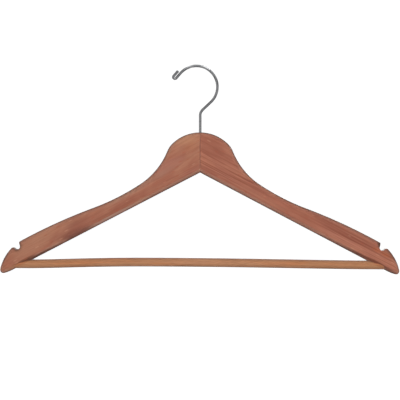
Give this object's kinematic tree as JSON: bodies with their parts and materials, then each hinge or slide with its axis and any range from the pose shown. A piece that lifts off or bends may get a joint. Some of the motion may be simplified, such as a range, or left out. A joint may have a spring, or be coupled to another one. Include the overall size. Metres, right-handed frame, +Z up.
{
  "type": "wooden clothes hanger",
  "caption": "Wooden suit hanger with two profiled arms glued at the centre, a round trouser bar between their feet, strap notches and a swivelling wire hook.",
  "frame": {"origin": "the point on the inside of the hook, on the swivel axis, that bears on the rail", "axes": "+Z is up along the swivel axis, +X runs along the shoulders to the hanger's right as seen from the front, -Y is the front"},
  "size_m": [0.432, 0.0104, 0.2265],
  "materials": {
    "cedar_left": "fine sanded, unvarnished red cedar",
    "cedar_right": "fine sanded, unvarnished red cedar",
    "bar_wood": "fine sanded, unvarnished light wood",
    "dowel_wood": "fluted beech, unvarnished",
    "hook_metal": "bright nickel-chrome plate",
    "bush_brass": "turned",
    "brad_steel": "bright wire"
  },
  "bodies": {
    "hook": {"hook_wire": "hook_metal", "swivel_washer": "bush_brass"},
    "hanger_frame": {"left_arm": "cedar_left", "right_arm": "cedar_right", "upper_dowel": "dowel_wood", "lower_dowel": "dowel_wood", "trouser_bar": "bar_wood", "left_bar_brad": "brad_steel", "right_bar_brad": "brad_steel", "swivel_bush": "bush_brass"}
  },
  "joints": [
    {"name": "hook_swivel", "type": "hinge", "parent": "hook", "child": "hanger_frame", "pos_m": [0, 0, -0.0812], "axis": [0, 0, 1], "continuous": true}
  ]
}
